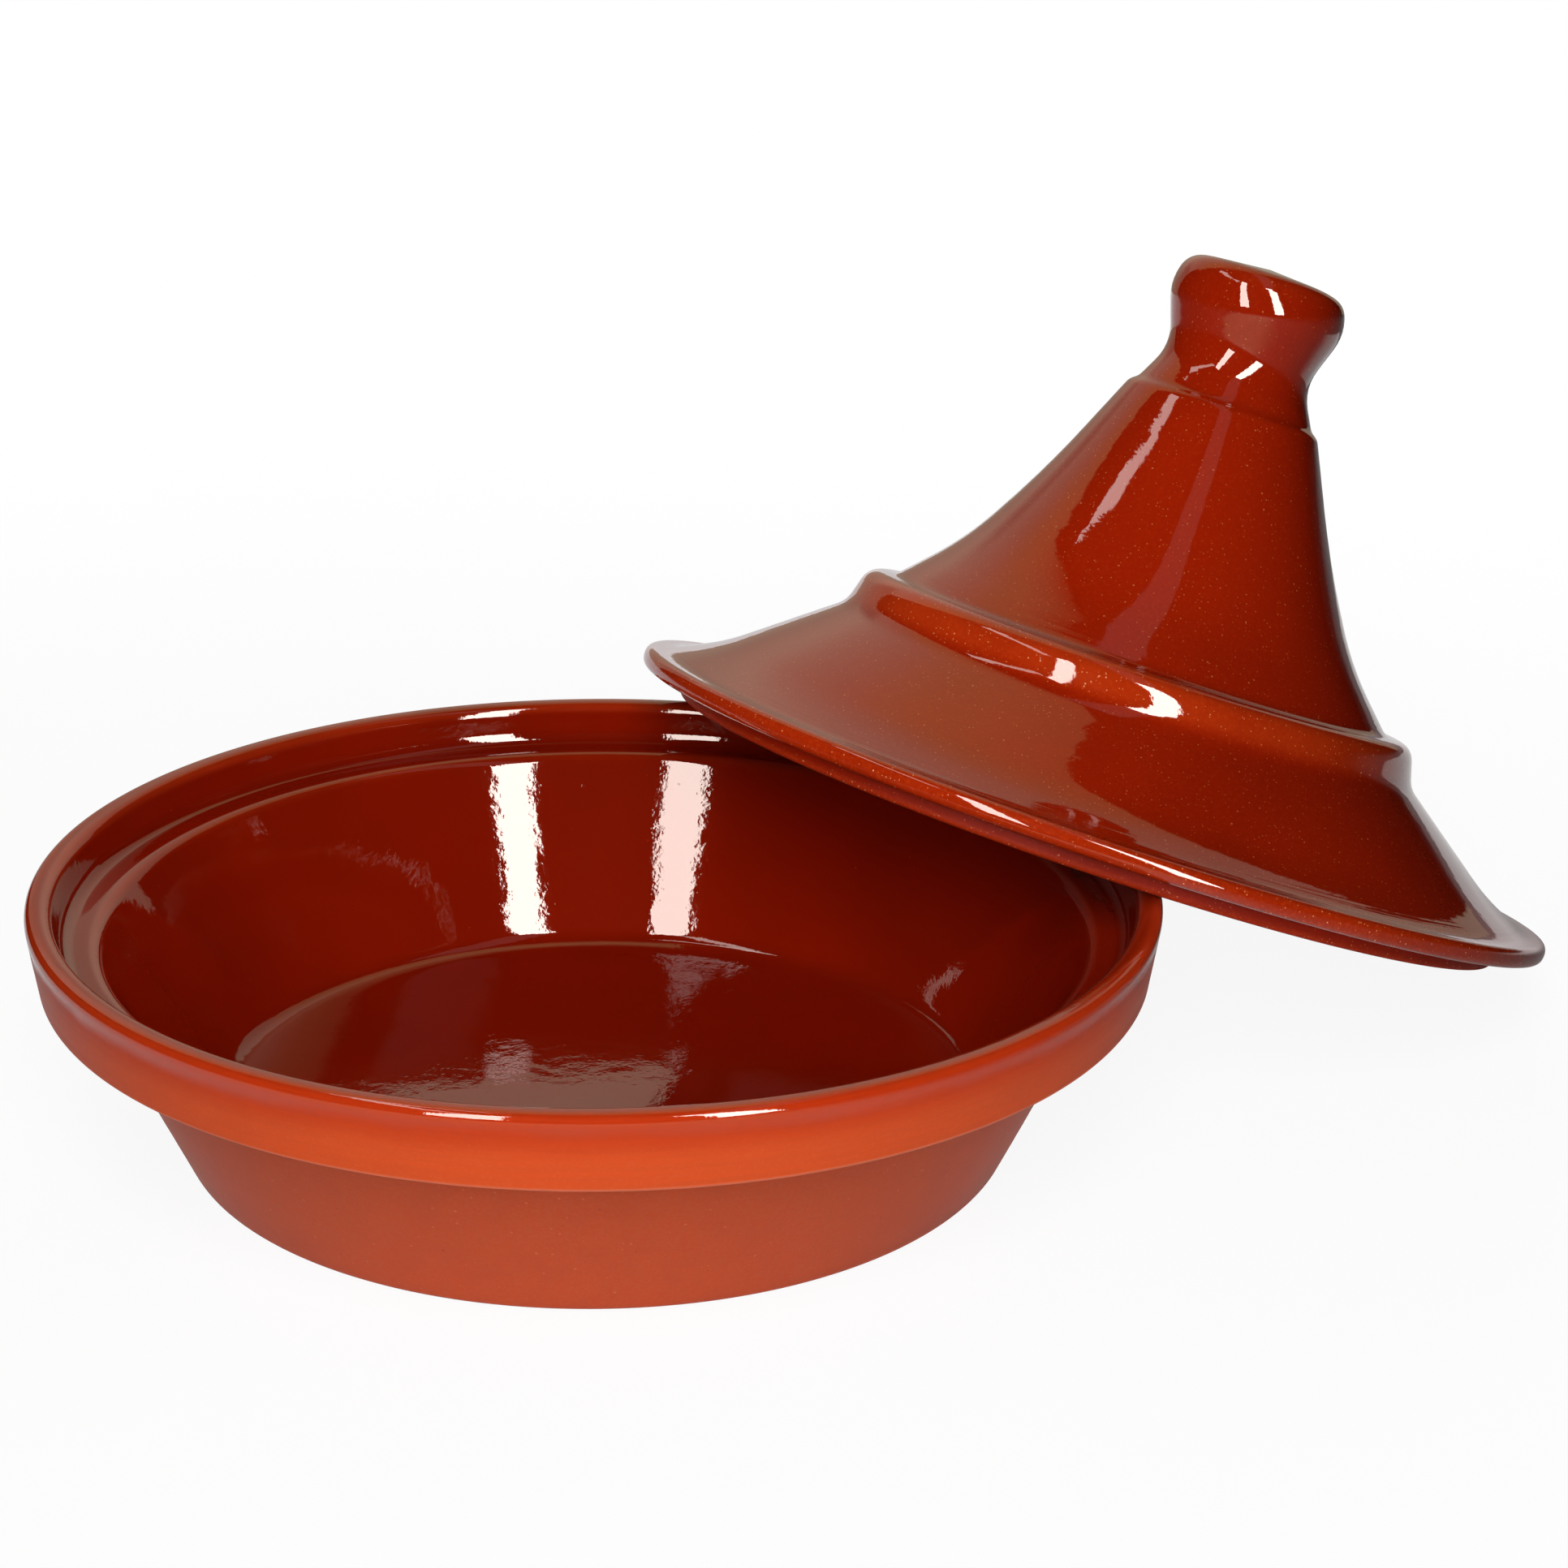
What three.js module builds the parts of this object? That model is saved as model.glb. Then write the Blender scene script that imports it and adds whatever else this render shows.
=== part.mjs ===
import * as THREE from 'three';

// Sizes in millimetres, angles in degrees. The dish stands on z = 0 with its axis on Z.
const RIM_R = 153; // widest radius of the dish, at the top of its rim
const DISH_H = 72; // foot to rim top
const RIM_W = 7.2; // thickness of the raised rim at its top
const BAND_H = 21; // height of the plain band around the rim
const BAND_FLARE = 3.3; // how far the band widens from its lower edge to the top
const LEDGE_DROP = 12; // rim top down to the ledge the lid sits on
const LEDGE_W = 9.8; // width of that ledge
const BODY_OUT = 2.6; // how far the body's top stands outside the ledge's inner edge
const FOOT_R = 112.5; // radius of the flat foot
const FOOT_WALL = 9.5; // foot edge in to the floor edge
const FLOOR_T = 10; // thickness of the floor

const LID_H = 166.1; // bead centre plane to the knob's top
const LID_WALL = 7; // wall thickness of the cone
const BEAD_T = 7.2; // thickness of the rounded bead around the lid
const BEAD_PLAY = 2.3; // bead to the inside of the raised rim, when seated
const RING_PLAY = 6.2; // locating ring to the ledge's inner edge, when seated
const RING_W = 8; // width of the locating ring under the bead
const RING_DROP = 4.1; // depth of that ring below the bead
const RIDGE_R = 88.6; // radius at the foot of the ridge around the cone
const RIDGE_Z = 33.8; // height of the ridge's foot
const RIDGE_T = 11.7; // height of the ridge
const RIDGE_STEP = 8.5; // how far the cone steps in above the ridge
const SHOULDER_R = 29.2; // radius of the shoulder under the neck
const SHOULDER_Z = 123.5; // height of the shoulder
const NECK_R = 21; // smallest radius of the neck
const KNOB_R = 27.1; // widest radius of the knob
const KNOB_EDGE = 24.3; // radius of the knob's top edge

const LID_OUT = 181.4; // dish axis to the centre of the leaning lid
const LID_DIR = 35.1; // direction of that centre from the dish axis, from +X towards +Y
const LEAN_DIR = 33; // direction the lid's knob leans in, from +X towards +Y
const GAP = 0.3; // clearance where the lid rests
const SEGMENTS = 72; // facets around each turned piece

const bandBottom = DISH_H - BAND_H;
const bandR = RIM_R - BAND_FLARE;
const rimIn = RIM_R - RIM_W;
const ledgeZ = DISH_H - LEDGE_DROP;
const ledgeOut = rimIn - 0.18 * LEDGE_DROP;
const ledgeIn = ledgeOut - LEDGE_W;
const bodyTop = ledgeIn + BODY_OUT;
const floorR = FOOT_R - FOOT_WALL;

const beadR = ledgeOut - BEAD_PLAY;
const ringR = ledgeIn - RING_PLAY;
const ringIn = ringR - RING_W;
const ringZ = -BEAD_T / 2 - RING_DROP;
const hollowTop = SHOULDER_Z - 1.7 * LID_WALL;

const mix = (a, b, t) => a + (b - a) * t;

// A profile with its corners rounded. Each corner is [radius, height, rounding, steps].
function rounded(corners) {
  const points = [];
  corners.forEach((corner, i) => {
    const [r, z, size = 0, steps = 0] = corner;
    const here = new THREE.Vector2(r, z);
    if (steps === 0) {
      points.push(here);
      return;
    }
    const before = new THREE.Vector2(...corners[i - 1].slice(0, 2)).sub(here);
    const after = new THREE.Vector2(...corners[i + 1].slice(0, 2)).sub(here);
    const reach = Math.min(size, 0.48 * before.length(), 0.48 * after.length());
    const start = here.clone().addScaledVector(before.normalize(), reach);
    const end = here.clone().addScaledVector(after.normalize(), reach);
    const bend = new THREE.QuadraticBezierCurve(start, here, end);
    points.push(...bend.getPoints(steps));
  });
  return points;
}

// A solid of revolution about Z from a profile of (radius, height) points.
function turned(profile) {
  return new THREE.LatheGeometry(profile, SEGMENTS).rotateX(Math.PI / 2);
}

const dishProfile = rounded([
  [0, 0],
  [FOOT_R, 0, 2.2, 3],
  [bodyTop, bandBottom, 2, 2],
  [bandR, bandBottom, 1.2, 2],
  [RIM_R, DISH_H, 4.2, 5],
  [rimIn, DISH_H, 3, 4],
  [ledgeOut, ledgeZ, 3.6, 4],
  [ledgeIn, ledgeZ, 2.6, 3],
  [floorR, FLOOR_T, 2.4, 3],
  [0, FLOOR_T],
]);

// Corners of the lid's outside, from the bead up to the shoulder.
const flareFoot = [beadR - BEAD_T, 0.5 * BEAD_T];
const ridgeFoot = [RIDGE_R, RIDGE_Z];
const ridgeTop = [RIDGE_R - 0.4 * RIDGE_STEP, RIDGE_Z + RIDGE_T];
const crease = [ridgeTop[0] - RIDGE_STEP, ridgeTop[1] + 0.06 * RIDGE_T];
const shoulder = [SHOULDER_R, SHOULDER_Z];
const between = (a, b, u, v) => [mix(a[0], b[0], u), mix(a[1], b[1], v)];
const flare = between(flareFoot, ridgeFoot, 0.3, 0.2);
const coneLow = between(crease, shoulder, 0.34, 0.215);
const coneHigh = between(crease, shoulder, 0.68, 0.57);
const inside = ([r, z], dr, dz) => [r - dr * LID_WALL, z - dz * LID_WALL];
const neckZ = mix(SHOULDER_Z, LID_H, 0.3);
const knobZ = mix(SHOULDER_Z, LID_H, 0.72);
const edgeZ = mix(SHOULDER_Z, LID_H, 0.945);

const lidProfile = rounded([
  [0, hollowTop],
  [0.72 * SHOULDER_R, hollowTop, 9, 3],
  [...inside(coneHigh, 0.9, 0.45), 12, 1],
  [...inside(coneLow, 0.76, 0.65), 12, 1],
  [...inside(ridgeFoot, 0.62, 0.8)],
  [...inside(flare, 0.56, 0.83), 10, 1],
  [ringIn, 0.15 * BEAD_T, 4, 1],
  [ringIn, ringZ, 1.6, 1],
  [ringR, ringZ, 1.6, 2],
  [ringR, -0.5 * BEAD_T],
  [beadR, -0.5 * BEAD_T, 0.48 * BEAD_T, 4],
  [beadR, 0.5 * BEAD_T, 0.48 * BEAD_T, 4],
  [...flareFoot, 3, 1],
  [...flare, 12, 3],
  [...ridgeFoot, 3, 1],
  [...ridgeTop, 5, 4],
  [...crease, 2, 1],
  [...coneLow, 14, 2],
  [...coneHigh, 22, 2],
  [...shoulder, 1.6, 2],
  [NECK_R, neckZ, 8, 3],
  [KNOB_R, knobZ, 9, 4],
  [KNOB_EDGE, edgeZ, 5, 3],
  [0, LID_H],
]);

// Height of the dish's upper surface at a distance from its axis.
function dishTop(radius) {
  let top = -Infinity;
  for (let i = 1; i < dishProfile.length; i += 1) {
    const a = dishProfile[i - 1];
    const b = dishProfile[i];
    const span = b.x - a.x;
    const t = (radius - a.x) / span;
    if (Math.abs(span) > 1e-6 && t >= 0 && t <= 1) top = Math.max(top, mix(a.y, b.y, t));
  }
  return top;
}

const lean = THREE.MathUtils.degToRad(LEAN_DIR);
const way = THREE.MathUtils.degToRad(LID_DIR);
const hinge = new THREE.Vector3(-Math.sin(lean), Math.cos(lean), 0);

// The lid leaning by an angle, its lowest point just clear of the table.
function leaning(angle) {
  const low = Math.min(...lidProfile.map((p) => p.y * Math.cos(angle) - p.x * Math.sin(angle)));
  const turn = new THREE.Matrix4().makeRotationAxis(hinge, angle);
  const move = [LID_OUT * Math.cos(way), LID_OUT * Math.sin(way), GAP - low];
  return new THREE.Matrix4().makeTranslation(...move).multiply(turn);
}

// Smallest height of the lid above the dish at that angle.
function clearance(angle) {
  const place = leaning(angle);
  const spot = new THREE.Vector3();
  let least = Infinity;
  for (const p of lidProfile) {
    for (let i = 0; i < 720; i += 1) {
      const turn = (i * Math.PI) / 360;
      spot.set(p.x * Math.cos(turn), p.x * Math.sin(turn), p.y).applyMatrix4(place);
      least = Math.min(least, spot.z - dishTop(Math.hypot(spot.x, spot.y)));
    }
  }
  return least;
}

// The lean at which the lid's ring comes to rest on the dish's rim.
function restingLean() {
  let low = 0;
  let high = Math.PI / 4;
  for (let i = 0; i < 18; i += 1) {
    const middle = (low + high) / 2;
    if (clearance(middle) < GAP) low = middle;
    else high = middle;
  }
  return high;
}

function piece(name, geometry, colour, roughness) {
  const material = new THREE.MeshStandardMaterial({ color: colour, roughness, metalness: 0 });
  const mesh = new THREE.Mesh(geometry, material);
  mesh.name = name;
  return mesh;
}

const tagine = new THREE.Group();
tagine.name = 'tagine';
tagine.add(piece('dish', turned(dishProfile), 0xa83a1c, 0.35));
tagine.add(piece('lid', turned(lidProfile).applyMatrix4(leaning(restingLean())), 0x86200c, 0.22));

export default tagine;
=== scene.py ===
"""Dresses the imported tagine: a thrown dish and its cone lid, in a red-brown gloss glaze over red clay."""

import math

import bpy
import numpy as np
from bpy.props import FloatProperty, FloatVectorProperty, IntProperty, PointerProperty
from mathutils import Matrix, Vector


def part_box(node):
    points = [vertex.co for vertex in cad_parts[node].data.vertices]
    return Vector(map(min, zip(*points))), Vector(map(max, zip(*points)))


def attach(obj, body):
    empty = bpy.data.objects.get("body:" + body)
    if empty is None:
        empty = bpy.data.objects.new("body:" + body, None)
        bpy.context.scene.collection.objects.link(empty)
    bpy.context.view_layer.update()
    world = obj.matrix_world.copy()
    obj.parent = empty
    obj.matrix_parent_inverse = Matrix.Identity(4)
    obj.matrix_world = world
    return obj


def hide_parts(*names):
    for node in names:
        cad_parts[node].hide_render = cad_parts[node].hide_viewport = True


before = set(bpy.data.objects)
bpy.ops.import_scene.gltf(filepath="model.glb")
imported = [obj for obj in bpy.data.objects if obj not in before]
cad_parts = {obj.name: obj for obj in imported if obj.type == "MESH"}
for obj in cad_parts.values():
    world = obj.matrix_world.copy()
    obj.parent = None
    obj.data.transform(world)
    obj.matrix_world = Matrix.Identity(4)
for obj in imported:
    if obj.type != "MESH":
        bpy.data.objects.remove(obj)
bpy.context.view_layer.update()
DISH_LOW, DISH_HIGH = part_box("dish")

bl_info = {
    "name": "Glazed tagine",
    "version": (1, 0, 0),
    "blender": (4, 5, 0),
    "location": "3D View > Sidebar > Tagine",
    "description": "Builds a glazed clay tagine with its lid leaning on the dish, and a plain studio",
    "category": "Add Mesh",
}

MM = 0.001
MICRON = 0.000001

# ---------------------------------------------------------------- fixed values: meshes

CORNER_SHARE = 0.498  # most of a side that one corner's rounding takes up
BEND_STEP = math.radians(7)  # largest turn in one step around a corner
BEND_STEPS = (4, 28)  # fewest and most steps around a corner
WELD = 2 * MICRON  # profile points nearer to each other than this become one
EDGE_BLUR = 1.3 * MM  # width over which an edge's sharpness is averaged
EDGE_RADIUS = 3.0 * MM  # rounding at which an edge counts as tight
STRAY = 1.5 * MM  # most that a piece's box may differ from its solid's

# Unevenness of hand-turned clay.
WAVES = (2, 5)  # fewest and most slow waves around a piece
WAVE_DRIFT = (8, 22)  # least and most that a wave turns along the profile, in radians per metre
TURN_DEPTH = 0.012 * MM  # depth of the turning marks
DISH_TURNING = {"seed": 11, "size": 0.22 * MM, "pitch": 8.5 * MM}
LID_TURNING = {"seed": 23, "size": 0.28 * MM, "pitch": 7.5 * MM}
RIM_KEPT = 9 * MM  # about the rim's top, where the lid rests, the dish stays even
FOOT_FADE = 12 * MM  # way up from the foot on which the dish's unevenness begins
FLOOR_FADE = 30 * MM  # radius inside which it fades out on the floor
LID_FADE = 20 * MM  # way up from the bead, and out from the knob's middle, on which the lid's begins

# Shares that shape the two profiles.
RIM_SLOPE = 0.18  # how far the rim's inside leans, by its height
RIDGE_LEAN = 0.4  # how far the ridge leans in, by the step above it
CREASE_RISE = 0.06  # height of the crease above the ridge, by the ridge's height
FLARE = (0.3, 0.2)  # place of the bend between bead and ridge, across and up
CONE_LOW, CONE_HIGH = (0.34, 0.215), (0.68, 0.57)  # places of the bends between crease and shoulder
NECK_UP, KNOB_UP, KNOB_EDGE_UP = 0.30, 0.72, 0.945  # their heights, between the shoulder and the top
BEAD_ROUND = 0.48  # rounding of the bead, by its thickness
ROOF_DROP = 1.7  # shoulder down to the hollow's top, by the wall
ROOF_WIDTH = 0.72  # radius of the hollow's top, by the shoulder's
RING_FILLET = 0.3  # height of the fillet inside the ring, by half of the bead
HOLLOW_HIGH, HOLLOW_LOW = (0.9, 0.45), (0.76, 0.65)  # walls in and down from the bends outside
HOLLOW_RIDGE, HOLLOW_FLARE = (0.62, 0.8), (0.56, 0.83)

# ---------------------------------------------------------------- fixed values: finishes

# Shine.
GLAZE = {"IOR": 1.6, "Specular Tint": (1.0, 0.87, 0.79, 1.0)}
BODY_CLAY = {"IOR": 1.42, "Specular IOR Level": 0.16, "Sheen Weight": 0.09, "Sheen Roughness": 0.35}
BAND_CLAY = {"IOR": 1.42, "Specular IOR Level": 0.08}
RING_CLAY = {"IOR": 1.42, "Specular IOR Level": 0.12}
MATT = {"Roughness": 1.0, "Specular IOR Level": 0.0}

# Noise: scale, detail and roughness. MEAN is the middle of its values.
MEAN = 0.5
DISH_CLOUDS, DISH_MOTTLES, DISH_GRAIN = (13, 3.0, 0.55), (95, 3.0, 0.6), (900, 3.0, 0.65)
LID_CLOUDS, LID_MOTTLES, LID_GRAIN = (15, 3.0, 0.55), (110, 3.0, 0.6), (1000, 2.0, 0.6)
STREAKS, GROOVES = (700, 3.0, 0.6), (750, 1.0, 0.5)
STREAK_DRAW, RING_DRAW, GROOVE_DRAW = 0.035, 0.05, 0.02  # share of the scale that is left around a piece

# Specks: scale, share of the cells, and least and most size of a speck by its cell.
SPECK_EDGE = 0.45  # soft edge of a speck, by the least size
SPECK_STEP = 0.002  # range of chance in which a cell's speck fades out
PINHOLES = (240, 0.10, 0.06, 0.13)
PALE, DUST, GRIT = (260, 0.05, 0.05, 0.12), (520, 0.16, 0.10, 0.26), (340, 0.07, 0.08, 0.18)
DUSTED, FINE, BOLD = (950, 0.40, 0.10, 0.26), (620, 0.26, 0.09, 0.20), (300, 0.022, 0.035, 0.075)

# Relief of the glaze: scale of its noise and height.
PEEL, FINE_PEEL = (260, 42 * MICRON), (900, 13 * MICRON)
RUNS, RINGS = (75, 90 * MICRON), (330, 8 * MICRON)

# Relief, heights only.
PINHOLE = 12 * MICRON
TOOTH = 38 * MICRON  # grain of the dry clay
DRAG = 30 * MICRON  # marks of the tool in the dry clay
PITTED = 30 * MICRON  # holes that grit leaves in the dry clay
RING_TOOTH = 35 * MICRON  # grain of the clay under the lid's ring
GROOVE = 90 * MICRON  # fine grooves at the feet of the lid's slopes
CALM = 0.7  # share of the relief that is missing on the dish's ledge
UNEVEN_FLOOR = 0.6  # share of the relief that is added on the dish's floor
BAND_CALM = 0.55  # share of the clay's relief that is missing on the band
LID_RELIEF = 0.6  # share of the glaze's relief on the lid

# Where coats begin and end: ways along the profile from a corner, which the finishes name.
GLAZE_FROM = (-6.5 * MM, -2.0 * MM)
EDGE_FROM, EDGE_TO = (-13 * MM, -4 * MM), (-0.5 * MM, 4.5 * MM)
# The second of these is where the painted highlight along the band's lower edge ends.
WASH_FROM, LIP_HIGHLIGHT_TO, FOOT_TO = (-0.4 * MM, 0.6 * MM), (0.4 * MM, 1.1 * MM), (-4.0 * MM, -2.2 * MM)
CALM_FROM, CALM_TO = (-2 * MM, 1 * MM), (8 * MM, 12 * MM)
FLOOR_FROM = (1 * MM, 6 * MM)
RIDGE_FROM, RIDGE_TO = (-1 * MM, 5 * MM), (1 * MM, 4 * MM)
BEAD_TO, SKIRT_TO = (-4 * MM, 0), (-4 * MM, -1 * MM)
RING_FROM, RING_TO = (-1 * MM, 1 * MM), (-1.2 * MM, -0.2 * MM)
HOLLOW_TO = (-4 * MM, 0)
GROOVE_FROM, GROOVE_TO = (-1 * MM, 1 * MM), (4 * MM, 8 * MM)

# How far the edges of the dish's coats wander, and each coat's share of it.
CLOUD_WANDER, MOTTLE_WANDER, BRUSH_WANDER = 6 * MM, 2.2 * MM, 3 * MM
# The last is the share of the painted highlight along the band's lower edge.
EDGE_WANDER, WASH_WANDER, FOOT_WANDER, LIP_HIGHLIGHT_WANDER = 0.5, 0.1, 0.25, 0.04

# Ranges in which a noise, or an edge's sharpness, brings a coat in.
CLOUDY, MOTTLED = (0.35, 0.75), (0.35, 0.70)
DISH_BREAKS, DISH_POOLS, DISH_THIN_WANDER = (0.22, 0.95), (0.10, 0.80), 0.15
LID_BREAKS, LID_POOLS, LID_THIN_WANDER = (0.20, 1.0), (0.08, 0.75), 0.2
STREAKY, WASH_GRAINY, WASH_CLOUDY = (0.30, 0.70), (0.45, 0.75), (0.45, 0.70)
CLAY_GRAINY, CLAY_MOTTLED = (0.38, 0.68), (0.40, 0.75)
LID_GRAINY, LINING_CLOUDY = (0.45, 0.75), (0.3, 0.7)

# Coats: strength and linear colour.
DISH_CLOUD, DISH_POOL = (0.35, (0.125, 0.0045, 0.0006)), (0.4, (0.085, 0.003, 0.0005))
WASH_STREAK, WASH_GRAIN = (0.45, (0.455, 0.058, 0.015)), (0.22, (0.600, 0.115, 0.040))
# The second coat here is a painted highlight. It is a pale line along the band's rounded lower edge that
# stands for light caught from the floor below.
WASH_CLOUD, LIP_HIGHLIGHT = (0.25, (0.480, 0.062, 0.016)), (0.55, (0.600, 0.170, 0.085))
CLAY_GRAIN, CLAY_MOTTLE = (0.40, (0.430, 0.088, 0.037)), (0.25, (0.340, 0.050, 0.018))
CLAY_DUST, CLAY_GRIT = (0.35, (0.600, 0.170, 0.080)), (0.5, (0.220, 0.030, 0.010))
FOOT_MOTTLE, FOOT_DUST = (0.5, (0.380, 0.075, 0.028)), (0.5, (0.620, 0.210, 0.110))
LID_CLOUD, LID_POOL = (0.30, (0.165, 0.0060, 0.0008)), (0.35, (0.110, 0.004, 0.0006))
RING_MOTTLE, LINING_CLOUD = (0.5, (0.330, 0.060, 0.022)), (0.5, (0.220, 0.012, 0.0015))
LINING = (0.300, 0.022, 0.003)  # thin coat in the lid's hollow

# Coats whose colour is a setting: strength, and what a second mask adds to it or takes off.
DISH_THIN, PALE_GLAZE, EDGE_ON_GLAZE, EDGE_ON_WASH = 0.6, 0.35, 0.9, 0.75
RIDGE_THIN, RIDGE_MOTTLE = 0.42, 0.5
LID_THIN, BEAD_THICK = 0.7, 0.45
GRAIN_THIN, GRAIN_BROKEN = 0.12, 0.3
DUSTED_FLECK, DUSTED_BROKEN = 0.18, 0.34
FINE_FLECK, FINE_BROKEN = 0.28, 0.56
BOLD_FLECK = 0.8

# Roughness: least, and what a mask or noise adds to it.
DISH_GLOSS, LID_GLOSS, GLOSS_MOTTLE = 0.022, 0.024, 0.022
BODY_MATT, BODY_GRAIN, FOOT_MATT = 0.52, 0.16, 0.2
BAND_SATIN, BAND_STREAK = 0.34, 0.12
RING_MATT, RING_ROUGH, HOLLOW_MATT = 0.45, 0.2, 0.10

# ---------------------------------------------------------------- fixed values: studio

WHITE, BLACK = (1, 1, 1), (0, 0, 0)
DUSK = (0.004, 0.003, 0.002)  # what the glaze mirrors where nothing hangs

# The floor, by the way across and along it: the table, and a part behind the lid.
TABLE_ACROSS, TABLE_FROM = (-0.75, -0.55, 0.10, 0.34), (-1.3, -1.0)
BEHIND_ACROSS, BEHIND_ALONG = (0.0, 0.2, 0.60, 0.64), (0.10, 0.25, 0.56, 0.60)
TABLE_WHITE = 0.75  # brightness of both parts in mirror images, where the rest of the floor is black
LIT_ACROSS = (-0.34, -0.08, 0.12, 0.45)  # strip that spreads light
UNLIT_FLOOR = (0.15, 0.15, 0.15)  # the rest, in spread light
FRONT_TO, WARM_FLOOR = (-0.30, -0.12), (1, 0.96, 0.52)  # the front part, and its tint in mirror images
FLOOR_MIRRORED = 0.75  # share of the floor's own white in mirror images
NEAR_WHITE, FAR_WHITE, WHITE_FROM = 0.91, 0.09, (0.25, 0.8)  # its share near the dish, and more further off

# The paper, by the way across and up.
PAPER_DEPTH = 1.2  # how far behind the dish it hangs
PAPER_LOW, PAPER_HIGH = (1, 0.90, 0.69), (1, 0.92, 0.44)  # its tints
PAPER_TURN = (0.8, 1.7)  # where one goes over into the other
SIDE_FADE, SIDE_DARK = (-0.1, 1.2), 0.35
TOP_FADE, TOP_DARK = (1.8, 4.4), 0.75
PAPER_FOOT, CORNER_ACROSS, CORNER_UP, CORNER_DARK = (0.12, 0.50), (-0.42, -0.12), (0.55, 0.75), 0.45
PAPER_OUTLINE = (
    (-0.60, 0.0), (1.0, 0.0), (1.02, 0.45), (1.08, 0.58), (1.1, 1.2), (1.05, 2.2),
    (0.6, 4.2), (-1.0, 4.2), (-1.25, 2.4), (-1.2, 1.5), (-0.98, 0.95), (-0.77, 0.6),
)

# Lamps: name, setting of the brightness, place, aim, slant in degrees, width and height, and whether
# the lamp gives soft light or only the shine in the glaze. Some reach only the objects named for them.
AHEAD, DOWN = (0, 1, 0), (0, 0, -1)
LAMPS = (
    ("lamp_right", "right_level", (0.53, -1.08, 1.02), AHEAD, 0, (0.27, 1.66), "shine"),
    ("lamp_left", "left_level", (-0.57, -1.08, 1.38), AHEAD, 6, (0.30, 2.10), "shine"),
    ("lamp_overhead", "overhead_level", (-0.535, -0.20, 1.40), DOWN, 0, (0.14, 0.76), "shine"),
    ("lamp_slanted", "overhead_level", (-0.505, 0.24, 1.40), DOWN, 17, (0.16, 0.25), "shine"),
    ("lamp_tube", "tube_level", (-0.255, 0.190, 1.00), DOWN, 45, (0.055, 0.30), "shine"),
    ("lamp_fill", "fill_level", (0.45, -0.15, 1.40), DOWN, 0, (0.28, 1.20), "shine"),
    ("lamp_back", "back_level", (0.30, 1.32, 0.42), (-0.15, -1.25, -0.33), 0, (0.70, 0.50), "light"),
    ("lamp_key", "key_level", (-0.045, -1.22, 0.90), (0.065, 1.25, -0.84), 0, (0.60, 1.10), "light"),
    ("lamp_lid", "lid_level", (-0.40, -1.20, 0.90), (0.57, 1.28, -0.80), 0, (0.60, 1.10), "light"),
)
LAMP_REACH = {"lamp_tube": ("dish_body",), "lamp_key": ("dish_body", "floor"), "lamp_lid": ("lid_cone",)}
SENSOR = 36  # width of the camera's sensor, in millimetres

# ---------------------------------------------------------------- settings


def length(label, words, millimetres):
    """A size in metres, given here in millimetres."""
    return FloatProperty(name=label, description=words, default=millimetres * MM, unit="LENGTH", precision=5)


def angle(label, words, degrees):
    """An angle, given here in degrees."""
    return FloatProperty(name=label, description=words, default=math.radians(degrees), subtype="ANGLE")


def colour(label, words, value):
    """A linear colour."""
    return FloatVectorProperty(name=label, description=words, default=value, subtype="COLOR", min=0, max=1)


def level(label, words, value):
    """A plain number."""
    return FloatProperty(name=label, description=words, default=value, min=0)


class TagineDishSettings(bpy.types.PropertyGroup):
    """Sizes and colours of the dish"""

    rim_radius: length("Rim radius", "Widest radius of the dish, at the top of its rim", 153)
    height: FloatProperty(
        name="Height", description="Foot to rim top", default=DISH_HIGH.z - DISH_LOW.z, unit="LENGTH"
    )
    rim_width: length("Rim width", "Thickness of the raised rim at its top", 7.2)
    band_height: length("Band height", "Height of the plain band around the rim", 21)
    band_flare: length("Band flare", "How far the band widens towards the top", 3.3)
    ledge_drop: length("Ledge drop", "Rim top down to the ledge the lid sits on", 12)
    ledge_width: length("Ledge width", "Width of the ledge the lid sits on", 9.8)
    body_out: length("Body out", "How far the body's top stands outside the ledge's inner edge", 2.6)
    foot_radius: length("Foot radius", "Radius of the flat foot", 112.5)
    foot_wall: length("Foot wall", "Foot edge in to the floor edge", 9.5)
    floor_thickness: length("Floor thickness", "Thickness of the dish's floor", 10)
    glaze: colour("Glaze", "Red-brown glaze where it lies thick", (0.212, 0.0068, 0.0004))
    glaze_thin: colour("Thin glaze", "The glaze where it breaks over an edge", (0.400, 0.030, 0.0045))
    edge_glaze: colour("Edge glaze", "Orange glaze over the rim's outer edge", (0.430, 0.030, 0.0045))
    band_wash: colour("Band wash", "Satin wash on the band", (0.555, 0.066, 0.013))
    clay: colour("Clay", "Matt clay of the body", (0.430, 0.058, 0.014))
    bare_clay: colour("Bare clay", "Dry clay under the foot", (0.480, 0.110, 0.045))


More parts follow.
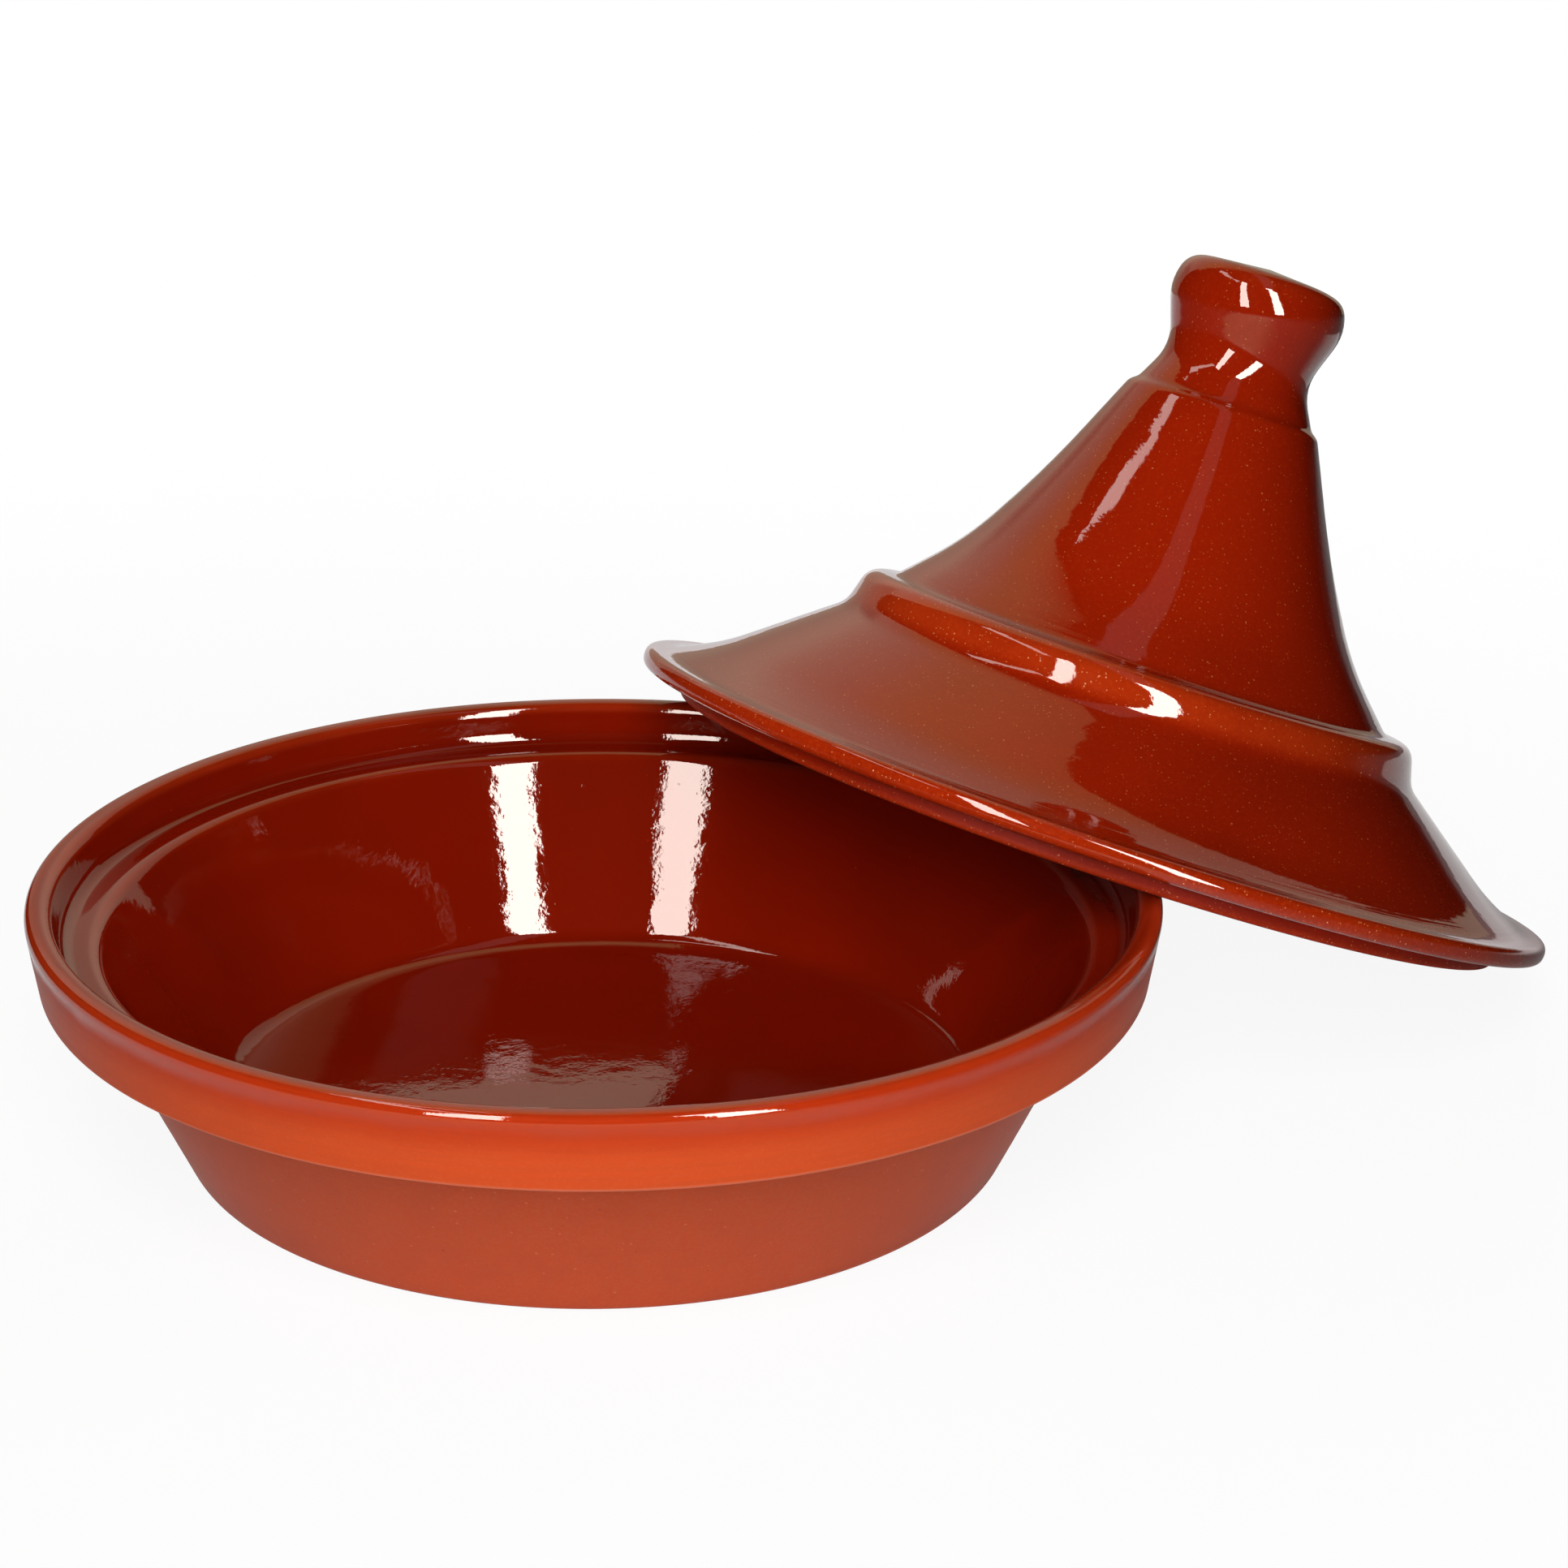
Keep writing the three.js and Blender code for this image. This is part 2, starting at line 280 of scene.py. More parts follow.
class TagineLidSettings(bpy.types.PropertyGroup):
    """Sizes, place and colours of the lid"""

    height: length("Height", "Middle of the bead to the knob's top", 166.1)
    wall: length("Wall", "Wall thickness of the cone", 7)
    bead_radius: length("Bead radius", "Outer radius of the bead", 141.34)
    bead_thickness: length("Bead thickness", "Thickness of the rounded bead", 7.2)
    bead_lift: length("Bead lift", "How far the bead's underside is cut back above its solid", 1.3)
    ring_radius: length("Ring radius", "Outer radius of the locating ring", 127.64)
    ring_width: length("Ring width", "Width of the locating ring", 8)
    ring_drop: length("Ring drop", "Depth of the ring below the bead", 4.1)
    ridge_radius: length("Ridge radius", "Radius at the foot of the ridge", 88.6)
    ridge_height: length("Ridge height", "Height of the ridge's foot", 33.8)
    ridge_thickness: length("Ridge thickness", "Height of the ridge itself", 11.7)
    ridge_step: length("Ridge step", "How far the cone steps in above the ridge", 8.5)
    shoulder_radius: length("Shoulder radius", "Radius of the shoulder under the neck", 29.2)
    shoulder_height: length("Shoulder height", "Height of the shoulder", 123.5)
    neck_radius: length("Neck radius", "Smallest radius of the neck", 21)
    knob_radius: length("Knob radius", "Widest radius of the knob", 27.1)
    knob_edge: length("Knob edge", "Radius of the knob's top edge", 24.3)
    centre: FloatVectorProperty(
        name="Centre",
        description="Middle of the bead's circle, with the lid leaning on the dish",
        default=(0.14841234, 0.10430594, 0.05492407),
        subtype="TRANSLATION",
    )
    lean: angle("Lean", "How far the lid leans over", 21.672604)
    lean_direction: angle("Lean direction", "Way the knob leans, from +X towards +Y", 33)
    glaze: colour("Glaze", "Red-brown glaze where it lies thick", (0.292, 0.0115, 0.0008))
    glaze_thin: colour("Thin glaze", "The glaze where it breaks over an edge", (0.500, 0.044, 0.0055))
    fleck: colour("Fleck", "Golden flecks in the glaze", (0.800, 0.310, 0.120))
    bare_clay: colour("Bare clay", "Dry clay under the locating ring", (0.420, 0.095, 0.038))


class TagineStageSettings(bpy.types.PropertyGroup):
    """Floor, lamps and camera"""

    floor_colour: colour("Floor", "Colour of the floor", (0.93, 0.93, 0.93))
    floor_size: FloatProperty(name="Floor size", description="Side of the floor", default=24, unit="LENGTH")
    left_level: level("Left level", "Brightness of the tall lamp at the front left", 15.5)
    right_level: level("Right level", "Brightness of the tall lamp at the front right", 22)
    overhead_level: level("Overhead level", "Brightness of the narrow overhead lamp", 4.5)
    tube_level: level("Tube level", "Brightness of the narrow tube above the dish", 4.5)
    back_level: level("Back level", "Brightness of the soft light from behind", 9.0)
    fill_level: level("Fill level", "Brightness of the faint overhead lamp", 0.29)
    key_level: level("Key level", "Brightness of the soft light from the front, on the dish", 12.0)
    lid_level: level("Lid level", "Brightness of the soft light from the front left, on the lid", 13.5)
    ambient: level("Ambient", "Brightness of the studio's walls on the object", 0.05)
    paper_level: level("Paper level", "Brightness of the white paper behind, seen in the glaze", 0.69)
    focal_length: FloatProperty(name="Lens", description="Focal length", default=83.85, unit="CAMERA")
    distance: FloatProperty(
        name="Distance", description="Camera to the middle of the foot", default=1.0187, unit="LENGTH"
    )
    elevation: angle("Elevation", "Camera above the floor", 25.188)
    yaw: angle("Yaw", "Camera turned to the left", -2.940)
    pitch: angle("Pitch", "Camera turned up", 5.195)
    roll: angle("Roll", "Camera rolled about its axis", 0.577)


class TagineMeshSettings(bpy.types.PropertyGroup):
    """Fineness of the turned meshes"""

    segments: IntProperty(name="Segments", description="Facets around a turned piece", default=288, min=24)
    span: length("Span", "Longest straight step along a profile", 2.4)


# ---------------------------------------------------------------- shader wiring


class Wire:
    """A node's output that takes part in Python arithmetic: each operation adds its node."""

    def __init__(self, bench, socket):
        self.bench, self.socket = bench, socket

    def _math(self, operation, first, second):
        kind = "ShaderNodeVectorMath" if self.socket.type == "VECTOR" else "ShaderNodeMath"
        return self.bench.node(kind, {"operation": operation}, {0: first, 1: second})

    def __add__(self, other):
        return self._math("ADD", self, other)

    __radd__ = __add__

    def __sub__(self, other):
        return self._math("SUBTRACT", self, other)

    def __rsub__(self, other):
        return self._math("SUBTRACT", other, self)

    def __mul__(self, other):
        if self.socket.type == "VECTOR":
            return self.bench.node("ShaderNodeVectorMath", {"operation": "SCALE"}, {0: self, "Scale": other})
        return self._math("MULTIPLY", self, other)

    __rmul__ = __mul__

    def either(self, other):
        """The larger of two values."""
        return self._math("MAXIMUM", self, other)


class Bench:
    """Adds nodes to one shader tree."""

    def __init__(self, owner):
        owner.use_nodes = True
        self.tree = owner.node_tree
        self.tree.nodes.clear()

    def node(self, kind, settings=None, sockets=None, output=0):
        """A node of a kind, its settings made first and then its sockets' values or links."""
        made = self.tree.nodes.new(kind)
        for key, value in (settings or {}).items():
            setattr(made, key, value)
        for key, value in (sockets or {}).items():
            if isinstance(value, Wire):
                self.tree.links.new(value.socket, made.inputs[key])
            else:
                made.inputs[key].default_value = value
        return Wire(self, made.outputs[output])

    def carried(self):
        """What a turned mesh carries: its unleaned place, the way along its profile, and its edges."""
        outputs = (("local", "Vector"), ("along", "Fac"), ("thin", "Fac"))
        kind = "ShaderNodeAttribute"
        return [self.node(kind, {"attribute_name": name}, output=output) for name, output in outputs]

    def spot(self):
        """A place on an object, as a vector and as its X, Y and Z."""
        place = self.node("ShaderNodeTexCoord", output="Object")
        return place, *(self.node("ShaderNodeSeparateXYZ", None, {0: place}, axis) for axis in range(3))

    def rays(self):
        """1 for rays of each kind: from the camera, in a mirror image, through glass, and spread light."""
        kinds = ("Is Camera Ray", "Is Glossy Ray", "Is Transmission Ray", "Is Diffuse Ray")
        return [self.node("ShaderNodeLightPath", output=kind) for kind in kinds]

    def noise(self, vector, scale, detail=2.0, roughness=0.5, across=None):
        """Noise from 0 to 1. With across, that value runs across the grain."""
        settings = {"noise_dimensions": "3D"}
        sockets = {"Vector": vector, "Scale": scale, "Detail": detail, "Roughness": roughness}
        if across is not None:
            settings, sockets["W"] = {"noise_dimensions": "4D"}, across
        return self.node("ShaderNodeTexNoise", settings, sockets, "Fac")

    def rise(self, value, low, high):
        """0 below low and 1 above high, with a smooth way between."""
        settings = {"interpolation_type": "SMOOTHSTEP", "clamp": True}
        return self.node("ShaderNodeMapRange", settings, {"Value": value, "From Min": low, "From Max": high})

    def window(self, value, low, full, fading, high):
        """0 outside low and high and 1 from full to fading, with smooth ways between."""
        return self.rise(value, low, full) * (1 - self.rise(value, fading, high))

    def past(self, along, corner, ways):
        """0 before a corner of the profile and 1 past it, changing between two ways from it."""
        return self.rise(along, corner + ways[0], corner + ways[1])

    def between(self, along, first, ways_in, last, ways_out):
        """1 between two corners of the profile."""
        return self.past(along, first, ways_in) * (1 - self.past(along, last, ways_out))

    def mix(self, factor, first, second):
        """One colour going over into another."""
        sockets = {0: factor, 6: self.shade(first), 7: self.shade(second)}
        return self.node("ShaderNodeMix", {"data_type": "RGBA", "blend_type": "MIX"}, sockets, 2)

    def layers(self, base, *coats):
        """A colour with coats over it, each given by its mask, strength and colour."""
        for mask, strength, over in coats:
            base = self.mix(mask * strength, base, over)
        return base

    @staticmethod
    def shade(value):
        return value if isinstance(value, Wire) else (*value, 1)

    def specks(self, vector, scale, share, low, high):
        """Small round specks in a share of a Voronoi pattern's cells, of sizes from low to high."""
        cells = {"Vector": vector, "Scale": scale}
        distance = self.node("ShaderNodeTexVoronoi", {"feature": "F1"}, cells, "Distance")
        random = self.node("ShaderNodeTexVoronoi", {"feature": "F1"}, cells, "Color")
        chance = self.node("ShaderNodeSeparateColor", None, {0: random}, "Red")
        size = self.node("ShaderNodeSeparateColor", None, {0: random}, "Green")
        inside = self.rise(size * (high - low) + low - distance, 0.0, SPECK_EDGE * low)
        return inside * self.rise(chance, 1 - share, 1 - share + SPECK_STEP)

    def bump(self, height):
        """Normal from a height in metres."""
        return self.node("ShaderNodeBump", None, {"Strength": 1.0, "Distance": 1.0, "Height": height})

    def principled(self, sockets):
        return self.node("ShaderNodeBsdfPrincipled", None, sockets)

    def coat(self, paint, roughness, normal, shine):
        """A fired surface."""
        return self.principled({"Base Color": paint, "Roughness": roughness, "Normal": normal} | shine)

    def plain(self, paint):
        """A matt surface with no shine."""
        return self.principled({"Base Color": paint} | MATT)

    def glow(self, tone):
        """A surface that only gives off light."""
        lit = {"Emission Color": tone, "Emission Strength": 1.0}
        return self.principled({"Base Color": self.shade(BLACK)} | MATT | lit)

    def blend(self, factor, first, second):
        """One shader going over into another."""
        return self.node("ShaderNodeMixShader", None, {0: factor, 1: first, 2: second})

    def output(self, shader, kind="ShaderNodeOutputMaterial"):
        made = self.tree.nodes.new(kind)
        self.tree.links.new(shader.socket, made.inputs[0])


# ---------------------------------------------------------------- turned meshes


def rounded(corners, span):
    """Profile points from named corners (radius, height, rounding), and the way along it to all of them."""
    points, places = [], []
    sizes = [(*corner, 0.0)[:3] for corner in corners.values()]
    for i, (r, z, size) in enumerate(sizes):
        here = np.array((r, z))
        if size == 0.0:
            bend = [here]
        else:
            before = np.array(sizes[i - 1][:2]) - here
            after = np.array(sizes[i + 1][:2]) - here
            back, on = np.linalg.norm(before), np.linalg.norm(after)
            reach = min(size, CORNER_SHARE * back, CORNER_SHARE * on)
            start = here + before / back * reach
            end = here + after / on * reach
            turn = math.acos(max(-1, min(1, -before @ after / back / on)))
            steps = int(np.clip(max(turn / BEND_STEP, 2 * reach / span), *BEND_STEPS))
            t = np.linspace(0, 1, steps + 1)[:, None]
            bend = list((1 - t) ** 2 * start + 2 * t * (1 - t) * here + t**2 * end)
        if points:
            gap = bend[0] - points[-1]
            pieces = int(np.linalg.norm(gap) / span)
            points += [points[-1] + gap * k / (pieces + 1) for k in range(1, pieces + 1)]
        places.append(len(points) + len(bend) // 2)
        points += bend
    keep = [0] + [k for k in range(1, len(points)) if np.linalg.norm(points[k] - points[k - 1]) > WELD]
    index = {old: new for new, old in enumerate(keep)}
    places = [index[max(k for k in keep if k <= place)] for place in places]
    points = np.array(points)[keep]
    along = np.concatenate([[0], np.cumsum(np.linalg.norm(np.diff(points, axis=0), axis=1))])
    return points, along, {name: float(along[place]) for name, place in zip(corners, places)}


def smoothed(values, along, width):
    """Values averaged along a profile over a width."""
    weight = np.exp(-0.5 * ((along[:, None] - along[None, :]) / width) ** 2)
    weight = weight * np.gradient(along)[None, :]
    return (weight @ values) / weight.sum(1)


def thinness(points, along):
    """How sharply a profile turns outwards: 1 on a tight edge, where glaze runs thin, -1 in a crease."""
    way = np.gradient(points, axis=0)
    heading = np.unwrap(np.arctan2(way[:, 1], way[:, 0]))
    bend = np.gradient(heading) / np.gradient(along)
    return np.clip(smoothed(bend, along, EDGE_BLUR) * EDGE_RADIUS, -1, 1)


def waver(seed, around, along):
    """Slow unevenness: a few waves around a piece, drifting along its profile."""
    rng = np.random.default_rng(seed)
    counts = range(WAVES[0], WAVES[1] + 1)
    total = np.zeros((len(along), len(around)))
    for waves in counts:
        phase, drift = rng.uniform(0, 2 * math.pi), rng.uniform(*WAVE_DRIFT)
        total += np.sin(waves * around[None, :] + phase + drift * along[:, None]) / waves
    return total / sum(1 / waves for waves in counts)


def hand_turned(around, along, seed, size, pitch, share):
    """How far each point is pushed out by slow waves and turning marks, of which a share is kept."""
    marks = TURN_DEPTH * np.sin(2 * math.pi * along[:, None] / pitch + around[None, :])
    return (size * waver(seed, around, along) + marks) * share[:, None]


def turned(name, points, along, segments, place, turning):
    """A mesh of revolution about Z, from a profile that begins and ends there, put in place."""
    around = np.arange(segments) * 2 * math.pi / segments
    way = np.gradient(points, axis=0)
    way /= np.linalg.norm(way, axis=1)[:, None]
    push = hand_turned(around, along, **turning)
    body = slice(1, -1)
    r = (points[:, 0:1] + way[:, 1:2] * push)[body]
    z = (points[:, 1:2] - way[:, 0:1] * push)[body]
    ring = np.stack([r * np.cos(around), r * np.sin(around), z], -1).reshape(-1, 3)
    local = np.concatenate([ring, [(0, 0, points[0, 1]), (0, 0, points[-1, 1])]])
    rows = len(r)
    first, last = rows * segments, rows * segments + 1
    j = np.arange(segments)
    k = (j + 1) % segments
    faces = []
    for i in range(rows - 1):
        a, b = i * segments, (i + 1) * segments
        faces += np.stack([a + j, a + k, b + k, b + j], 1).tolist()
    end = (rows - 1) * segments
    faces += np.stack([np.full(segments, first), k, j], 1).tolist()
    faces += np.stack([np.full(segments, last), end + j, end + k], 1).tolist()
    mesh = bpy.data.meshes.new(name)
    lean = np.array(place)
    mesh.from_pydata((local @ lean[:3, :3].T + lean[:3, 3]).tolist(), [], faces)
    mesh.polygons.foreach_set("use_smooth", np.ones(len(mesh.polygons), bool))
    thin = thinness(points, along)
    thin[[0, -1]] = 0
    for label, values in (("along", along), ("thin", thin)):
        spread = np.concatenate([np.repeat(values[body], segments), values[[0, -1]]])
        mesh.attributes.new(label, "FLOAT", "POINT").data.foreach_set("value", spread.astype(np.float32))
    data = mesh.attributes.new("local", "FLOAT_VECTOR", "POINT").data
    data.foreach_set("vector", local.astype(np.float32).ravel())
    mesh.update()
    piece = bpy.data.objects.new(name, mesh)
    bpy.context.scene.collection.objects.link(piece)
    return piece


def check_place(piece, node):
    """Stops if a piece strays from the solid that it stands for."""
    corners = np.array([v.co for v in piece.data.vertices])
    low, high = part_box(node)
    stray = max(np.abs(corners.min(0) - np.array(low)).max(), np.abs(corners.max(0) - np.array(high)).max())
    if stray > STRAY:
        raise RuntimeError(f"{piece.name} strays {stray / MM:.2f} mm from the solid {node}")


# ---------------------------------------------------------------- finishes


def glaze_relief(bench, local, along):
    """Height of the fired glaze: orange peel, slow runs, faint throwing rings and a few pinholes."""

    def swell(vector, scale, height, across=None):
        return (bench.noise(vector, scale, across=across) - MEAN) * height

    peel = swell(local, *PEEL) + swell(local, *FINE_PEEL)
    rings = swell(local * RING_DRAW, *RINGS, across=along)
    return peel + swell(local, *RUNS) + rings - bench.specks(local, *PINHOLES) * PINHOLE


def dish_finish(settings, at):
    """Gloss glaze inside and over the rim, a satin wash on the band with a painted highlight along its lower
    edge, matt clay below.
    """
    material = bpy.data.materials.new("dish_glaze")
    bench = Bench(material)
    local, along, thin = bench.carried()
    cloud = bench.noise(local, *DISH_CLOUDS)
    mottle = bench.noise(local, *DISH_MOTTLES)
    grain = bench.noise(local, *DISH_GRAIN)
    streak = bench.noise(local * STREAK_DRAW, *STREAKS, across=along)
    pale, dust, grit = (bench.specks(local, *pattern) for pattern in (PALE, DUST, GRIT))

    # Where each coat lies.
    wander = (cloud - MEAN) * CLOUD_WANDER + (mottle - MEAN) * MOTTLE_WANDER
    glazed = bench.past(along + wander + (streak - MEAN) * BRUSH_WANDER, at["rim"], GLAZE_FROM)
    edge = bench.past(along + wander * EDGE_WANDER, at["rim"], EDGE_FROM)
    edge = edge * (1 - bench.past(along, at["rim"], EDGE_TO))
    banded = bench.past(along + wander * WASH_WANDER, at["body_top"], WASH_FROM)
    # Painted highlight: a pale line along the band's rounded lower edge, for light caught from the floor
    # below.
    lip_highlight = 1 - bench.past(along + wander * LIP_HIGHLIGHT_WANDER, at["lip"], LIP_HIGHLIGHT_TO)
    footed = 1 - bench.past(along + wander * FOOT_WANDER, at["foot"], FOOT_TO)
    calm = bench.between(along, at["ledge_out"], CALM_FROM, at["ledge_out"], CALM_TO)
    floor = bench.past(along, at["floor"], FLOOR_FROM)
    breaking = bench.rise(thin + (mottle - MEAN) * DISH_THIN_WANDER, *DISH_BREAKS)

    glaze = bench.layers(
        settings.glaze,
        (breaking, DISH_THIN, settings.glaze_thin),
        (bench.rise(cloud, *CLOUDY), *DISH_CLOUD),
        (bench.rise(0 - thin, *DISH_POOLS), *DISH_POOL),
        (pale, PALE_GLAZE, settings.glaze_thin),
        (edge, EDGE_ON_GLAZE, settings.edge_glaze),
    )
    wash = bench.layers(
        settings.band_wash,
        (bench.rise(streak, *STREAKY), *WASH_STREAK),
        (bench.rise(grain, *WASH_GRAINY), *WASH_GRAIN),
        (bench.rise(cloud, *WASH_CLOUDY), *WASH_CLOUD),
        (edge, EDGE_ON_WASH, settings.edge_glaze),
        # Last, the painted highlight along the band's lower edge.
        (lip_highlight, *LIP_HIGHLIGHT),
    )
    clay = bench.layers(
        settings.clay,
        (bench.rise(grain, *CLAY_GRAINY), *CLAY_GRAIN),
        (bench.rise(mottle, *CLAY_MOTTLED), *CLAY_MOTTLE),
        (dust, *CLAY_DUST),
        (grit, *CLAY_GRIT),
    )
    bare = bench.layers(settings.bare_clay, (bench.rise(mottle, *MOTTLED), *FOOT_MOTTLE), (dust, *FOOT_DUST))

    relief = glaze_relief(bench, local, along) * glazed * (1 - calm * CALM + floor * UNEVEN_FLOOR)
    tooth = grain * TOOTH + streak * DRAG - grit * PITTED
    normal = bench.bump(relief + tooth * (1 - glazed) * (1 - banded * BAND_CALM))
    matt = BODY_MATT + grain * BODY_GRAIN + footed * FOOT_MATT
    body = bench.coat(bench.mix(footed, clay, bare), matt, normal, BODY_CLAY)
    band = bench.coat(wash, BAND_SATIN + streak * BAND_STREAK, normal, BAND_CLAY)
    wet = bench.coat(glaze, DISH_GLOSS + mottle * GLOSS_MOTTLE, normal, GLAZE)
    bench.output(bench.blend(glazed, bench.blend(banded, body, band), wet))
    return material


def lid_finish(settings, at):
    """Gloss glaze with golden flecks outside, a thinner coat in the hollow, dry clay under the ring."""
    material = bpy.data.materials.new("lid_glaze")
    bench = Bench(material)
    local, along, thin = bench.carried()
    cloud = bench.noise(local, *LID_CLOUDS)
    mottle = bench.noise(local, *LID_MOTTLES)
    grain = bench.noise(local, *LID_GRAIN)
    dusted, fine, bold = (bench.specks(local, *pattern) for pattern in (DUSTED, FINE, BOLD))

    # Where each coat lies.
    ridge = bench.between(along, at["ridge_foot"], RIDGE_FROM, at["ridge_top"], RIDGE_TO)
    bead = 1 - bench.past(along, at["flare_foot"], BEAD_TO)
    ring = bench.between(along, at["ring_in"], RING_FROM, at["ring_out"], RING_TO)
    skirt = bench.between(along, at["ring_out"], RING_TO, at["bead_low"], SKIRT_TO)
    hollow = 1 - bench.past(along, at["ring_in"], HOLLOW_TO)
    breaking = bench.rise(thin + (mottle - MEAN) * LID_THIN_WANDER, *LID_BREAKS)
    breaking = breaking.either(ridge * (RIDGE_THIN + mottle * RIDGE_MOTTLE))

    glaze = bench.layers(
        settings.glaze,
        (breaking, LID_THIN - bead * BEAD_THICK, settings.glaze_thin),
        (bench.rise(cloud, *CLOUDY), *LID_CLOUD),
        (bench.rise(0 - thin, *LID_POOLS), *LID_POOL),
        (bench.rise(grain, *LID_GRAINY), GRAIN_THIN + breaking * GRAIN_BROKEN, settings.glaze_thin),
    )
    fleck = dusted * (DUSTED_FLECK + breaking * DUSTED_BROKEN)
    fleck = fleck.either(fine * (FINE_FLECK + breaking * FINE_BROKEN)).either(bold * BOLD_FLECK)
    glaze = bench.mix(fleck, glaze, settings.fleck)
    lining = bench.layers(LINING, (bench.rise(cloud, *LINING_CLOUDY), *LINING_CLOUD))
    glaze = bench.mix(hollow, glaze, lining)
    dry = bench.layers(settings.bare_clay, (bench.rise(mottle, *MOTTLED), *RING_MOTTLE))

    relief = glaze_relief(bench, local, along) * (1 - ring) * LID_RELIEF + grain * ring * RING_TOOTH
    lines = bench.noise(local * GROOVE_DRAW, *GROOVES, across=along) - MEAN
    for corner in ("flare_foot", "crease"):
        near = bench.between(along, at[corner], GROOVE_FROM, at[corner], GROOVE_TO)
        relief = relief + near * lines * GROOVE
    normal = bench.bump(relief)
    gloss = LID_GLOSS + mottle * GLOSS_MOTTLE + hollow * HOLLOW_MATT
    wet = bench.coat(glaze, gloss, normal, GLAZE)
    matt = bench.coat(bench.mix(ring, glaze, dry), RING_MATT + mottle * RING_ROUGH, normal, RING_CLAY)
    bench.output(bench.blend(ring.either(skirt), wet, matt))
    return material


# ---------------------------------------------------------------- operators


class TAGINE_OT_dish(bpy.types.Operator):
    """Turns the dish: foot, body, band, raised rim, ledge and bowl"""

    bl_idname = "tagine.dish"
    bl_label = "Dish"

    def execute(self, context):
        s, fine = context.scene.tagine_dish, context.scene.tagine_mesh
        band_low = s.height - s.band_height
        rim_in = s.rim_radius - s.rim_width
        ledge = s.height - s.ledge_drop
        ledge_out = rim_in - RIM_SLOPE * s.ledge_drop
        ledge_in = ledge_out - s.ledge_width
        corners = {
            "foot_middle": (0, 0),
            "foot": (s.foot_radius, 0, 2.2 * MM),
            "body_top": (ledge_in + s.body_out, band_low, 2.0 * MM),
            "lip": (s.rim_radius - s.band_flare, band_low, 1.3 * MM),
            "rim": (s.rim_radius, s.height, 4.2 * MM),
            "rim_in": (rim_in, s.height, 3.0 * MM),
            "ledge_out": (ledge_out, ledge, 3.8 * MM),
            "ledge_in": (ledge_in, ledge, 2.8 * MM),
            "floor": (s.foot_radius - s.foot_wall, s.floor_thickness, 4.8 * MM),
            "floor_middle": (0, s.floor_thickness),
        }
        points, along, at = rounded(corners, fine.span)
        rim_top = 0.5 * (at["rim"] + at["rim_in"])
        share = 1 - np.exp(-0.5 * ((along - rim_top) / RIM_KEPT) ** 2)
        share *= np.clip((along - at["foot"]) / FOOT_FADE, 0, 1) * np.clip(points[:, 0] / FLOOR_FADE, 0, 1)
        turning = DISH_TURNING | {"share": share}
        piece = turned("dish_body", points, along, fine.segments, Matrix.Identity(4), turning)
        check_place(piece, "dish")
        piece.data.materials.append(dish_finish(s, at))
        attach(piece, "dish")
        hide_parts("dish")
        return {"FINISHED"}


